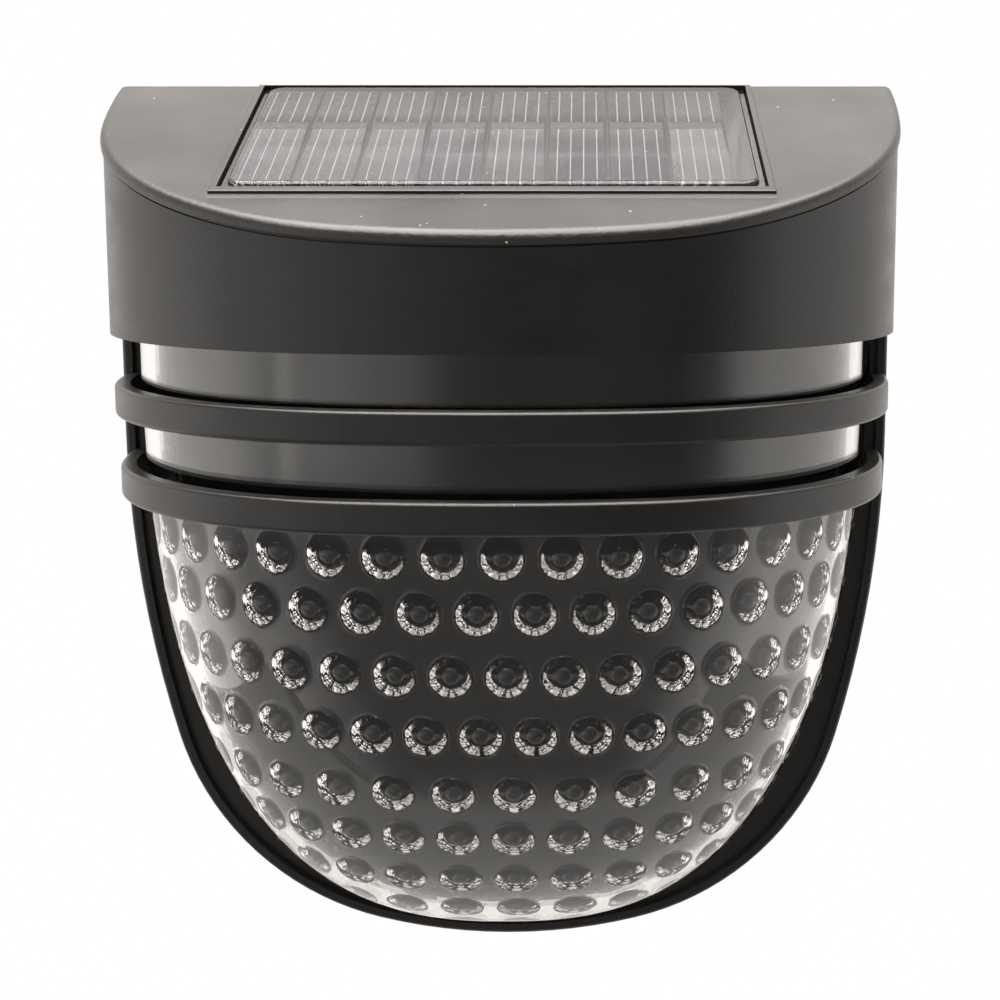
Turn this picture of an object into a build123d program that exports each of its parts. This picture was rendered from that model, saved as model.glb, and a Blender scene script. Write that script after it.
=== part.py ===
from build123d import *
import os
from math import cos, radians, sin, tan

# Solar fence light, in millimetres. X to the viewer's right, Y into the wall, Z up.
# The origin is the hanging point: the top end of the keyhole slot, on the back plane Y = 0.
# A sloping cap carries a solar panel. Two hoops guard the plain top of a clear lens, and a
# bulging lower lens runs back to a flat rim. A back cover closes the housing.

# ---- overall form ------------------------------------------------------------
half_width = 50.0        # cap, at the back plane
cap_depth = 48.0         # back plane to the middle of the cap's front wall
cap_corner = 39.4        # radius of the cap's front corners, seen from above
cap_turns = (7.0, 9.4)   # degrees turned by the slightly bowed side and front stretches
height = 113.0           # top edge to the lowest point of the rim
hang_below_top = 12.5    # top edge to the hanging point
top_angle = 19.8         # slope of the cap's top
skirt_drop = 30.7        # top edge to the cap's lower edge

# ---- walls and clearances ------------------------------------------------------
wall = 1.8               # cap wall of the housing
fit_gap = 0.15           # between a tongue and the wall that it locates in
seat_gap = 0.3           # between pieces that sit next to each other
overlap = 0.4            # how far a feature runs into the wall that carries it

# ---- top cover -----------------------------------------------------------------
cover_proud = 0.3        # cover edge stands out over the housing wall
cover_edge = 1.5         # height of the cover's rounded edge, square to the slope
cover_roof = 1.5
cover_back_drop = 5.2    # top edge to the lower end of the cover's back wall
cover_lip_radius = 1.1
cover_foot_radius = 0.2  # lower edge of the rounded lip
joint_groove = 0.25      # step round the housing's top, under the cover's lip
tongue_thickness = 1.1
tongue_depth = 2.0
frame_half = 31.8        # raised frame round the panel
frame_depth = 39.3       # along the slope
frame_edge = 1.0         # from the back edge to the frame
frame_width = 0.75       # at the sides
frame_front_width = 1.3
frame_back_width = 0.4
frame_rise = 0.55
frame_edge_radius = 0.2
frame_foot_height = 0.18 # small ramp at the foot of the frame's front
frame_foot_reach = 1.1
pocket_depth = 1.9
pocket_floor = 1.0
panel_gap = 0.25
wire_hole_radius = 2.2
post_radius = 2.6
post_bore = 0.95
back_post_inset = 11.5   # from the cap's side
back_post_y = 6.0
front_post_inset = 26.0  # from the cap's side
front_post_setback = 11.6  # from the middle of the cap's front wall

# ---- solar panel ---------------------------------------------------------------
adhesive_thickness = 0.3
board_thickness = 1.0
cell_thickness = 0.25
cell_count = 8
cell_pitch = 7.22
cell_gap = 0.3
cell_margin_front = 2.0
cell_margin_back = 1.85
cell_margin_left = 0.7   # the row of cells lies towards the left; the end tabs need the room at the right
ribbon_width = 2.2
ribbon_thickness = 0.12
ribbon_setback = 15.4    # panel's back edge to the middle of the ribbons
laminate_cover = 0.35    # clear resin over the cells, out to the board's edge
laminate_step = 0.6      # from the board's edge to the domed resin on top
laminate_rise = 0.7
laminate_radius = 0.65   # upper edge of the dome
laminate_corner = 2.0    # its corners, seen from above

# ---- rim and hoops -------------------------------------------------------------
rim_inset = 0.5          # rim wall inside the cap wall
rim_corner = 37.0
rim_turns = (15.8, 14.0)
rim_start = 44.3         # top edge to where the rim starts to curve in
rim_wall = 1.3
rim_depth = 6.8          # back plane to the rim's front edge
rim_edge_radius = 0.6
flange_width = 1.2       # flat band between rim wall and lens, at the top
flange_thickness = 1.4
hoop_height = 3.85
strip_height = 6.05      # clear strip above each hoop
hoop_thickness = 1.9
hoop_inset = 0.6         # each hoop is this much narrower than the one above
hoop_proud = 1.0         # first hoop in front of the cap wall
hoop_proud_step = 0.5
hoop_edge_radius = 0.5
hoop_count = 2

# ---- lens and seal ---------------------------------------------------------------
lens_gap = 0.4           # between the lens and the rim's flange
lens_foot_gap = 0.9      # and at the lowest point
lens_setback = 1.9       # lens front behind the middle of the cap's front wall
lens_corner = 36.7
lens_bend = 30.0         # top edge to where the lens starts to close
lens_power = 2.6         # exponent of the curve along which the lens closes
lens_wall = 1.8
lens_flange = 1.2
lens_levels = 8
lens_last_share = 0.12   # width left at the lowest section, as a share of the full width
seal_thickness = 1.0
seal_width = 1.4

# ---- back cover ------------------------------------------------------------------
back_thickness = 2.0
back_gap = 0.25          # all round, inside the housing wall
head_radius = 4.5        # keyhole entry
slot_half = 2.3          # keyhole slot
slot_travel = 7.5
pocket_room = 5.0        # closed room for the screw head behind the keyhole
pocket_wall = 1.2
pocket_half = 5.6
tab_half = 7.0
tab_reach = 0.6
tab_thickness = 1.0
screw_drop = 16.5        # top edge to the two back screws
boss_radius = 2.6
boss_length = 11.0
boss_bore = 1.1
rib_half = 0.8
screw_hole_radius = 1.6
screw_head_radius = 2.6
screw_head_height = 1.5
screw_length = 9.0

# ---- switch ----------------------------------------------------------------------
switch_inset = 20.0      # from the cap's side
switch_drop = 18.0
switch_travel = 2.0
recess_half_x = 4.5
recess_half_z = 3.0
recess_depth = 2.3
recess_floor = 1.0
recess_wall = 1.2
knob_half_x = 0.75
knob_half_z = 0.65
knob_clearance = 0.2
knob_sunk = 0.7          # knob tip in front of the back plane
shoe_half_x = 2.1
shoe_half_z = 1.1
shoe_thickness = 1.1
case_half_x = 4.3
case_half_z = 1.85
case_wall = 0.4
case_base = 1.5
pin_count = 3
pin_pitch = 2.5
pin_radius = 0.25
pin_length = 2.6
clip_thickness = 1.0
clip_length = 3.0

# ---- lamp tray and what it carries -------------------------------------------------
tray_top = 26.3          # top edge to the tray's upper face
tray_thickness = 1.5
ledge_width = 2.0
ledge_thickness = 1.2
tray_hole_radius = 3.6
tray_screw_radius = 1.0
tray_screw_length = 8.0
tray_head_radius = 2.0
tray_head_height = 1.2
battery_x = -6.0
battery_y = 17.9         # in front of the back plane
cell_radius = 7.1
wrap_thickness = 0.15
cell_length = 49.2
nub_radius = 2.75
nub_length = 1.3
holder_gap = 0.3
holder_wall = 1.2
holder_base = 0.8
contact_thickness = 0.3
contact_bow = 0.9
lamp_half_x = 30.5
lamp_depth = 14.0
lamp_gap = 3.0           # front edge behind the front posts' axes
lamp_thickness = 1.0
lamp_screw_x = 27.0
lamp_screw_inset = 2.2   # from the board's front edge
lamp_screw_radius = 0.8
lamp_screw_length = 2.6
lamp_head_radius = 1.6
lamp_head_height = 0.9
led_count = 6
led_pitch = 9.0
led_inset = 5.5          # from the board's front edge
led_half_x = 1.75
led_half_y = 1.4
led_height = 0.8
led_lens_height = 0.15
led_lens_inset = 0.3     # window inside the package's edge
chip_size = (3.0, 1.7, 1.1)
coil_radius = 2.0
coil_height = 1.3
part_inset = 11.0        # chip and inductor, from the board's front edge

# ---- wires -----------------------------------------------------------------------
wire_radius = 0.55
wire_bend = 1.4          # inner limit of the tangent arcs between straight runs
port_radius = 2.4        # ring on which four wires pass through the tray's hole
wire_lift = 2.2          # soldering point above the battery's axis
wire_reach = 2.8         # a wire's first straight run away from its terminal
wire_off_tray = 1.2
panel_wire_x = 26.9
panel_wire_inset = 2.5   # from the lamp board's back edge
wire_pitch = 1.5

# ---- derived places ----------------------------------------------------------------
top_z = hang_below_top
bottom_z = top_z - height
lens_half = half_width - rim_inset - rim_wall - flange_width - lens_gap
lens_depth = cap_depth - lens_setback
lens_bottom = height - rim_wall - flange_width - lens_foot_gap
back_post_x = half_width - back_post_inset
front_post_x = half_width - front_post_inset
front_post_y = cap_depth - front_post_setback
lamp_front = front_post_y - lamp_gap
lamp_back = lamp_front - lamp_depth
panel_wire_y = lamp_back + panel_wire_inset
switch_x = half_width - switch_inset
skirt_z = top_z - skirt_drop
tray_top_z = top_z - tray_top
tray_low_z = tray_top_z - tray_thickness
lens_top_z = tray_low_z - seat_gap
fall = tan(radians(top_angle))
cover_side_inset = wall + fit_gap + tongue_thickness
seal_front = back_thickness + seal_thickness
flange_back = seal_front + lens_flange
flange_front = flange_back + flange_thickness
plate_half = half_width - rim_inset - rim_wall - back_gap
lamp_top_z = tray_low_z - seat_gap
lamp_low_z = lamp_top_z - lamp_thickness
far = 4 * (half_width + cap_depth + height)
edge_margin = 0.01       # an edge this far in front of the back plane counts as a front edge
quarter_turn = 90


# ---- helpers -----------------------------------------------------------------------
def arch_radii(half, reach, corner, turns):
    """Radii of the side and front arcs that join two corner arcs without a kink."""
    side_cos, side_sin = cos(radians(turns[0])), sin(radians(turns[0]))
    front_cos, front_sin = cos(radians(turns[1])), sin(radians(turns[1]))
    across = -half + corner * (side_cos - front_sin)
    along = reach + corner * (side_sin - front_cos)
    scale = (side_cos - 1) * (1 - front_cos) + front_sin * side_sin
    side = (across * (1 - front_cos) + front_sin * along) / scale
    front = ((side_cos - 1) * along - side_sin * across) / scale
    return side, front


def arch_points(half, reach, corner, turns):
    """End and middle points of the five arcs, from (half, 0) over (0, reach) to (-half, 0)."""
    side, front = arch_radii(half, reach, corner, turns)
    turn_side, turn_front = turns
    centre = (half - side + (side - corner) * cos(radians(turn_side)),
              (side - corner) * sin(radians(turn_side)))

    def at(origin, radius, degrees):
        return (origin[0] + radius * cos(radians(degrees)), origin[1] + radius * sin(radians(degrees)))

    right = [at((half - side, 0), side, 0),
             at((half - side, 0), side, turn_side / 2),
             at((half - side, 0), side, turn_side),
             at(centre, corner, (turn_side + quarter_turn - turn_front) / 2),
             at(centre, corner, quarter_turn - turn_front)]
    left = [(-x, y) for x, y in reversed(right)]
    return right + [(0, reach)] + left


def arch_face(plane, half, reach, corner, turns, lead=0.0):
    """Face inside the arch, with straight sides of length lead before it, on the given plane."""
    points = arch_points(half, reach, corner, turns)
    edges = []
    for start in range(0, len(points) - 1, 2):
        a, b, c = points[start:start + 3]
        edges.append(ThreePointArc(plane.from_local_coords(Vector(*a)),
                                   plane.from_local_coords(Vector(*b)),
                                   plane.from_local_coords(Vector(*c))))
    ends = [(-half, 0), (-half, -lead), (half, -lead), (half, 0)] if lead else [(-half, 0), (half, 0)]
    for a, b in zip(ends, ends[1:]):
        edges.append(Line(plane.from_local_coords(Vector(*a)), plane.from_local_coords(Vector(*b))))
    return Face(Wire(edges))


def level_plane(z):
    """Plane at height z: x across, y towards the front, normal down."""
    return Plane(origin=(0, 0, z), x_dir=(1, 0, 0), z_dir=(0, 0, -1))


def upright_plane(y, z):
    """Plane at distance y from the wall plane: x across, y down, normal into the wall."""
    return Plane(origin=(0, y, z), x_dir=(1, 0, 0), z_dir=(0, 1, 0))


def plan_solid(inset, high, low, proud=0.0):
    """Block with the cap's outline, drawn in by inset, between two heights."""
    face = arch_face(level_plane(high), half_width - inset, cap_depth - inset + proud,
                     cap_corner - inset, cap_turns)
    return extrude(face, amount=high - low)


def rim_solid(inset, front, back, top):
    """Block with the rim's outline, drawn in by inset, between two distances from the wall."""
    drop = inset + rim_inset
    start_z = top_z - rim_start
    face = arch_face(upright_plane(-front, start_z), half_width - drop,
                     height - rim_start - inset, rim_corner - inset, rim_turns, lead=top - start_z)
    return extrude(face, amount=front - back)


def box_between(x_low, x_high, front, back, low, high):
    """Block given by its limits; front and back are distances in front of the back plane."""
    size = (x_high - x_low, front - back, high - low)
    return Pos((x_low + x_high) / 2, -(front + back) / 2, (low + high) / 2) * Box(*size)


def rod_up(x, forward, low, high, radius):
    """Upright cylinder at x, at a distance forward of the back plane."""
    return Pos(x, -forward, (low + high) / 2) * Cylinder(radius, high - low)


def rod_back(x, z, front, back, radius):
    """Cylinder along Y between two distances in front of the back plane."""
    return Pos(x, -(front + back) / 2, z) * Rot(X=90) * Cylinder(radius, front - back)


def slope_half(edge_z, slope, limit):
    """Space between a level at limit and a plane that falls to the front from edge_z at the back plane."""
    back = 2.0 * wall
    points = [(0, back, limit), (0, back, edge_z + back * slope),
              (0, -far, edge_z - far * slope), (0, -far, limit)]
    outline = Face(Wire.make_polygon([Vector(*p) for p in points], close=True))
    return extrude(outline, amount=far, dir=(1, 0, 0), both=True)


def under_slope(edge_z, slope):
    """Everything below a plane that falls towards the front from edge_z at the back plane."""
    return slope_half(edge_z, slope, -far)


def above_slope(edge_z, slope):
    """Everything above a plane that falls towards the front from edge_z at the back plane."""
    return slope_half(edge_z, slope, far)


def slope_up():
    """Unit vector square to the sloping top, pointing out of the cap."""
    return Vector(0, -sin(radians(top_angle)), cos(radians(top_angle)))


def slope_plane():
    """Plane of the sloping top: x across, y up the slope, origin at the top back edge."""
    return Plane(origin=(0, 0, top_z), x_dir=(1, 0, 0), z_dir=slope_up())


def sloping_face(block, side=1):
    """The face of a block that points the way the cap's top does, or with side -1 the opposite way."""
    return max(block.faces(), key=lambda face: side * face.normal_at().dot(slope_up()))


def front_edges(face):
    """Edges of a face that don't lie on the back plane."""
    return [edge for edge in face.edges() if edge.center().Y < -edge_margin]


def slope_block(half, near, reach, low, high):
    """Block on the sloping top: half width, from near to reach down the slope, heights off the top."""
    block = Pos(0, -(near + reach) / 2, (low + high) / 2) * Box(2 * half, reach - near, high - low)
    return slope_plane() * block


def roof_z(forward, depth):
    """Height of a face that lies depth below the sloping top, at a distance forward of the back plane."""
    return top_z - fall * forward - depth / cos(radians(top_angle))


def post_places():
    """Centres (x, forward) of the four posts that take the tray screws."""
    right = [(back_post_x, back_post_y), (front_post_x, front_post_y)]
    return right + [(-x, y) for x, y in right]


def back_screw_places():
    """Centres (x, z) of the two back screws."""
    x = plate_half - screw_head_radius - 2 * seat_gap - pocket_wall / 2
    return [(-x, top_z - screw_drop), (x, top_z - screw_drop)]


def joined(solids):
    """One compound of separate solids."""
    return Compound(children=[s for part in solids for s in part.solids()])


def save(name, shape):
    """Write one node as a STEP file."""
    solids = shape.solids()
    body = solids[0] if len(solids) == 1 else Compound(children=list(solids))
    export_step(body, "parts/" + name + ".step")


# ---- housing -----------------------------------------------------------------------
def cap_shell():
    """Curved cap wall with the inner ledge that the lamp tray is pulled up against."""
    outer = plan_solid(0, top_z, skirt_z)
    inner = plan_solid(wall, top_z + wall, skirt_z - wall)
    shell = (outer - inner) & under_slope(roof_z(0, cover_edge), fall)
    groove = plan_solid(-wall, top_z, skirt_z) - plan_solid(joint_groove, top_z, skirt_z)
    shell -= groove & above_slope(roof_z(0, cover_edge + joint_groove), fall)
    ledge_top = tray_top_z + ledge_thickness
    ledge = plan_solid(wall - overlap, ledge_top, tray_top_z)
    ledge -= plan_solid(wall + ledge_width, ledge_top, tray_top_z)
    ledge &= box_between(-far, far, far, seal_front, -far, far)
    return shell + ledge


def hoop(index):
    """One guard hoop across the lens, from rim side to rim side."""
    high = skirt_z - strip_height - index * (strip_height + hoop_height)
    inset = hoop_inset * (index + 1)
    proud = hoop_proud + inset + index * hoop_proud_step
    outer = plan_solid(inset, high, high - hoop_height, proud)
    levels = outer.faces().sort_by(Axis.Z)
    outer = fillet(front_edges(levels[-1]) + front_edges(levels[0]), hoop_edge_radius)
    inner = plan_solid(inset + hoop_thickness, high, high - hoop_height, proud)
    return (outer - inner) & box_between(-far, far, far, flange_back, -far, far)


def rim_frame():
    """Side posts and rim: an outer wall with a set-back flange that reaches to the lens."""
    top = skirt_z + overlap
    outer = rim_solid(0, rim_depth, 0, top)
    front_face = outer.faces().sort_by(Axis.Y)[0]
    outer = fillet([e for e in front_face.edges() if e.center().Z < top - edge_margin], rim_edge_radius)
    ring = outer - rim_solid(rim_wall, rim_depth, 0, top)
    band = rim_solid(rim_wall - overlap, flange_front, flange_back, top)
    return ring + band - lens_body(-lens_gap)


def screw_bosses():
    """Bosses on the side walls for the two back screws."""
    bosses = []
    room = plan_solid(wall - overlap, top_z, skirt_z)
    for x, z in back_screw_places():
        boss = rod_back(x, z, back_thickness + boss_length, back_thickness, boss_radius)
        x_low, x_high = sorted((x, half_width * x / abs(x)))
        rib = box_between(x_low, x_high, back_thickness + boss_length, back_thickness,
                          z - rib_half, z + rib_half)
        bosses.append((boss + rib) & room)
    return bosses


def front_housing():
    """Cap wall, posts, rim and hoops in one moulding."""
    body = cap_shell() + rim_frame()
    for index in range(hoop_count):
        body += hoop(index)
    for boss in screw_bosses():
        body += boss
    for x, z in back_screw_places():
        body -= rod_back(x, z, back_thickness + boss_length - wall, 0, boss_bore)
    notch_low = bottom_z + rim_wall - tab_reach - back_gap
    body -= box_between(-tab_half - back_gap, tab_half + back_gap, tab_thickness + 2 * back_gap, 0,
                        notch_low, bottom_z + rim_wall + seal_width)
    return body


# ---- top cover ---------------------------------------------------------------------
def cover_outer():
    """Wedge above the joint, with its rounded upper edge."""
    block = plan_solid(-cover_proud, top_z + wall, skirt_z)
    block &= under_slope(top_z, fall)
    block &= above_slope(roof_z(0, cover_edge), fall)
    block = fillet(front_edges(sloping_face(block)), cover_lip_radius)
    return fillet(front_edges(sloping_face(block, side=-1)), cover_foot_radius)


def panel_frame():
    """Raised frame round the panel, before its pocket is cut, with a small ramp along its front."""
    reach = frame_edge + frame_depth
    block = slope_block(frame_half, frame_edge, reach, -overlap, frame_rise)
    block = fillet(sloping_face(block).edges(), frame_edge_radius)
    points = [(-frame_half, -reach + overlap, frame_foot_height), (-frame_half, -reach, frame_foot_height),
              (-frame_half, -reach - frame_foot_reach, 0), (-frame_half, -reach - frame_foot_reach, -overlap),
              (-frame_half, -reach + overlap, -overlap)]
    section = Face(Wire.make_polygon([Vector(*p) for p in points], close=True))
    return block + slope_plane() * extrude(section, amount=2 * frame_half, dir=(1, 0, 0))


def top_cover():
    """Sloping cover with the panel's pocket and frame, the locating tongue and the screw posts."""
    body = cover_outer()
    hollow = plan_solid(cover_side_inset, top_z + wall, skirt_z)
    hollow &= under_slope(roof_z(0, cover_roof), fall)
    body -= hollow
    back_wall = box_between(-plate_half, plate_half, back_thickness, 0, top_z - cover_back_drop, top_z)
    body += back_wall & under_slope(roof_z(0, cover_roof / 2), fall)
    reach = frame_edge + frame_depth
    room = plan_solid(wall, top_z + wall, skirt_z)
    tub = slope_block(frame_half, 0, reach, -pocket_depth - pocket_floor, -cover_roof / 2)
    body += tub & room
    tongue = plan_solid(wall + fit_gap, top_z, skirt_z) - plan_solid(cover_side_inset, top_z, skirt_z)
    tongue &= above_slope(roof_z(0, cover_edge + tongue_depth), fall)
    tongue &= under_slope(roof_z(0, cover_edge - overlap), fall)
    tongue &= box_between(-far, far, far, back_thickness + seat_gap, -far, far)
    body += tongue
    for x, y in post_places():
        post = rod_up(x, y, tray_top_z + seat_gap, top_z, post_radius)
        body += post & under_slope(roof_z(0, cover_roof / 2), fall)
        body -= rod_up(x, y, tray_top_z, tray_top_z + tray_screw_length, post_bore)
    body += panel_frame()
    body -= slope_block(frame_half - frame_width, frame_edge + frame_back_width, reach - frame_front_width,
                        -pocket_depth, 2 * frame_rise)
    body -= rod_up(panel_wire_x, panel_wire_y, skirt_z, top_z, wire_hole_radius)
    return body


# ---- solar panel -------------------------------------------------------------------
panel_near = frame_edge + frame_back_width + panel_gap
panel_reach = frame_edge + frame_depth - frame_front_width - panel_gap
panel_half = frame_half - frame_width - panel_gap
board_low = -pocket_depth + adhesive_thickness
cell_low = board_low + board_thickness
laminate_high = cell_low + cell_thickness + laminate_cover


def panel_adhesive():
    """Foam tape between the pocket floor and the panel, open at the wire hole."""
    tape = slope_block(panel_half, panel_near, panel_reach, -pocket_depth, board_low)
    return tape - rod_up(panel_wire_x, panel_wire_y, skirt_z, top_z, wire_hole_radius + panel_gap)


def panel_board():
    """Backing board of the panel."""
    return slope_block(panel_half, panel_near, panel_reach, board_low, cell_low)


def slope_shift(shape, across):
    """Copy of a shape moved across the cap."""
    return Pos(across, 0, 0) * shape


def cell_offsets():
    """X of each cell's middle."""
    first = -panel_half + cell_margin_left + (cell_pitch - cell_gap) / 2
    return [first + index * cell_pitch for index in range(cell_count)]


def solar_cells():
    """Row of cut silicon cells, side by side."""
    half = (cell_pitch - cell_gap) / 2
    cell = slope_block(half, panel_near + cell_margin_back, panel_reach - cell_margin_front,
                       cell_low, cell_low + cell_thickness)
    return joined([slope_shift(cell, x) for x in cell_offsets()])


def cell_ribbons():
    """Flat ribbons that join neighbouring cells, lying across the cells."""
    middle = panel_near + ribbon_setback
    high = cell_low + cell_thickness
    link = slope_block((cell_pitch - cell_gap) / 2 - cell_gap, middle - ribbon_width / 2,
                       middle + ribbon_width / 2, high, high + ribbon_thickness)
    return joined([slope_shift(link, x) for x in cell_offsets()])


def upright_edges(block):
    """Edges of a block on the slope that stand square to it."""
    return [edge for edge in block.edges() if abs((edge % 0).dot(slope_up())) > 1 - edge_margin]


def panel_laminate():
    """Clear resin: a sheet over the board and cells, and a dome with rounded corners on top of it."""
    sheet = slope_block(panel_half, panel_near, panel_reach, cell_low, laminate_high)
    dome = slope_block(panel_half - laminate_step, panel_near + laminate_step, panel_reach - laminate_step,
                       cell_low, laminate_high + laminate_rise)
    dome = fillet(upright_edges(dome), laminate_corner)
    dome = fillet(sloping_face(dome).edges(), laminate_radius)
    return sheet + dome - solar_cells() - cell_ribbons()


# ---- lens and seal -----------------------------------------------------------------
def lens_body(inset):
    """Filled lens: an upright part, then sections that shrink along a superellipse."""
    bend_z = top_z - lens_bend
    half = lens_half - inset
    reach = lens_depth - inset
    corner = lens_corner - inset
    drop = lens_bottom - lens_bend - inset
    upper = extrude(arch_face(level_plane(lens_top_z + inset), half, reach, corner, cap_turns),
                    amount=lens_top_z + inset - bend_z)
    sections = []
    for level in range(lens_levels):
        angle = radians(quarter_turn * level / lens_levels)
        share = max(cos(angle) ** (2 / lens_power), lens_last_share)
        depth = drop * sin(angle) ** (2 / lens_power)
        sections.append(arch_face(level_plane(bend_z - depth), half * share, reach * share,
                                  corner * share, cap_turns))
    depth = drop * (1 - lens_last_share ** lens_power) ** (1 / lens_power)
    sections.append(arch_face(level_plane(bend_z - depth), half * lens_last_share, reach * lens_last_share,
                              corner * lens_last_share, cap_turns))
    return upper + loft(sections)


def lens():
    """Clear lens: curved wall with a flat flange that the back cover clamps."""
    outer = lens_body(0) & box_between(-far, far, far, seal_front, -far, lens_top_z)
    flange = rim_solid(rim_wall + back_gap, flange_back, seal_front, lens_top_z)
    return outer + flange - lens_body(lens_wall)


def lens_seal():
    """U-shaped rubber seal between the lens flange and the back cover."""
    inset = rim_wall + 2 * back_gap
    outer = rim_solid(inset, seal_front, back_thickness, lens_top_z)
    return outer - rim_solid(inset + seal_width, seal_front, back_thickness, lens_top_z)


# ---- back cover ----------------------------------------------------------------------
def keyhole(front, back, grow=0.0):
    """Keyhole outline run between two distances: round entry below, slot up to the origin."""
    entry_z = -slot_travel
    slot = rod_back(0, -slot_half, front, back, slot_half + grow)
    slot += box_between(-slot_half - grow, slot_half + grow, front, back, entry_z, -slot_half)
    return slot + rod_back(0, entry_z, front, back, head_radius + grow)


def back_cover():
    """Flat cover with keyhole and head pocket, switch recess, screw holes and a bottom tab."""
    plate_top = top_z - cover_back_drop - seat_gap
    body = rim_solid(rim_wall + back_gap, back_thickness, 0, plate_top)
    pocket_top = slot_half + pocket_wall
    pocket_low = -slot_travel - head_radius - pocket_wall
    room_front = back_thickness + pocket_room
    body += box_between(-pocket_half - pocket_wall, pocket_half + pocket_wall, room_front + pocket_wall,
                        back_thickness / 2, pocket_low, pocket_top + pocket_wall / 2)
    body -= box_between(-pocket_half, pocket_half, room_front, back_thickness,
                        pocket_low + pocket_wall, pocket_top - pocket_wall / 2)
    body -= keyhole(back_thickness + overlap, -overlap)
    body += switch_recess()
    body -= switch_cut()
    for x, z in back_screw_places():
        body -= rod_back(x, z, back_thickness, 0, screw_hole_radius)
        body -= rod_back(x, z, screw_head_height / 2, 0, screw_head_radius + seat_gap)
    tab_low = bottom_z + rim_wall - tab_reach
    body += box_between(-tab_half, tab_half, tab_thickness + back_gap, back_gap,
                        tab_low, bottom_z + rim_wall + seal_width)
    return body


def switch_recess():
    """Raised back of the switch recess with two clips beside the switch."""
    z = top_z - switch_drop
    floor_front = recess_depth + recess_floor
    block = box_between(switch_x - recess_half_x - recess_wall, switch_x + recess_half_x + recess_wall,
                        floor_front, back_thickness / 2, z - recess_half_z - recess_wall,
                        z + recess_half_z + recess_wall)
    for side in (-1, 1):
        near = case_half_x + fit_gap
        x_low, x_high = sorted((switch_x + side * near, switch_x + side * (near + clip_thickness)))
        block += box_between(x_low, x_high, floor_front + clip_length, back_thickness,
                             z - case_half_z, z + case_half_z)
    return block


def switch_cut():
    """Recess for a fingertip and the slot that the knob slides in."""
    z = top_z - switch_drop
    recess = box_between(switch_x - recess_half_x, switch_x + recess_half_x, recess_depth, -overlap,
                         z - recess_half_z, z + recess_half_z)
    return recess + knob_slot(recess_depth + recess_floor, recess_depth - overlap)


def knob_slot(front, back):
    """Clear way of the knob over its travel."""
    half = switch_travel / 2 + knob_half_x + knob_clearance
    z = top_z - switch_drop
    return box_between(switch_x - half, switch_x + half, front, back,
                       z - knob_half_z - knob_clearance, z + knob_half_z + knob_clearance)


# ---- switch ------------------------------------------------------------------------
case_back = recess_depth + recess_floor
cavity_back = case_back + case_wall
cavity_front = cavity_back + shoe_thickness + 2 * knob_clearance
case_front = cavity_front + case_base


def switch_case():
    """Metal and phenolic case with a cavity for the sliding shoe."""
    z = top_z - switch_drop
    body = box_between(switch_x - case_half_x, switch_x + case_half_x, case_front, case_back,
                       z - case_half_z, z + case_half_z)
    shoe_room = shoe_half_x + switch_travel / 2 + knob_clearance
    body -= box_between(switch_x - shoe_room, switch_x + shoe_room, cavity_front, cavity_back,
                        z - shoe_half_z - knob_clearance, z + shoe_half_z + knob_clearance)
    return body - knob_slot(cavity_back + overlap, case_back)


def switch_slider():
    """Knob and shoe, in the off position at the low end of X."""
    x = switch_x - switch_travel / 2
    z = top_z - switch_drop
    shoe_back = cavity_back + knob_clearance
    knob = box_between(x - knob_half_x, x + knob_half_x, shoe_back + overlap, knob_sunk,
                       z - knob_half_z, z + knob_half_z)
    shoe = box_between(x - shoe_half_x, x + shoe_half_x, shoe_back + shoe_thickness, shoe_back,
                       z - shoe_half_z, z + shoe_half_z)
    return knob + shoe


def switch_pins():
    """Solder pins of the switch."""
    z = top_z - switch_drop
    return joined([rod_back(switch_x + (index - (pin_count - 1) / 2) * pin_pitch, z,
                            case_front + pin_length, case_front, pin_radius)
                   for index in range(pin_count)])


# ---- lamp tray, battery and lamp board -------------------------------------------------
def lamp_tray():
    """Plate under the battery, with screw holes, pilot holes for the lamp board and a wire hole."""
    body = plan_solid(wall + seat_gap, tray_top_z, tray_low_z)
    body &= box_between(-far, far, far, back_thickness + seat_gap, -far, far)
    for side in (-1, 1):
        body -= rod_up(side * lamp_screw_x, lamp_front - lamp_screw_inset, tray_low_z,
                       lamp_low_z + lamp_screw_length, lamp_screw_radius)
    for x, y in post_places():
        body -= rod_up(x, y, tray_low_z, tray_top_z, tray_screw_radius + seat_gap)
    return body - rod_up(panel_wire_x, panel_wire_y, tray_low_z, tray_top_z, tray_hole_radius)


def battery_z():
    """Height of the battery's axis above the tray."""
    return tray_top_z + holder_base + holder_gap + cell_radius + wrap_thickness


def rod_across(x_low, x_high, radius):
    """Cylinder on the battery's axis between two X values."""
    return Pos((x_low + x_high) / 2, -battery_y, battery_z()) * Rot(Y=90) * Cylinder(radius, x_high - x_low)


cell_x_low = battery_x - cell_length / 2
cell_x_high = battery_x + cell_length / 2
contact_room = contact_thickness + contact_bow


def battery_cell():
    """Round cell with its positive nub at the low end of X."""
    nub = rod_across(cell_x_low - nub_length, cell_x_low, nub_radius)
    return rod_across(cell_x_low, cell_x_high, cell_radius) + nub


def battery_wrap():
    """Shrink sleeve round the cell."""
    return rod_across(cell_x_low, cell_x_high, cell_radius + wrap_thickness) - rod_across(
        cell_x_low, cell_x_high, cell_radius)


def battery_holder():
    """Open trough with end walls, standing on the tray."""
    room = cell_radius + wrap_thickness + holder_gap
    low_x = cell_x_low - nub_length - contact_room
    high_x = cell_x_high + contact_room
    axis_z = battery_z()
    body = box_between(low_x - holder_wall, high_x + holder_wall, battery_y + room + holder_wall,
                       battery_y - room - holder_wall, tray_top_z, axis_z)
    body -= Pos((low_x + high_x) / 2, -battery_y, axis_z) * Rot(Y=90) * Cylinder(room, high_x - low_x)
    return body


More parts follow.
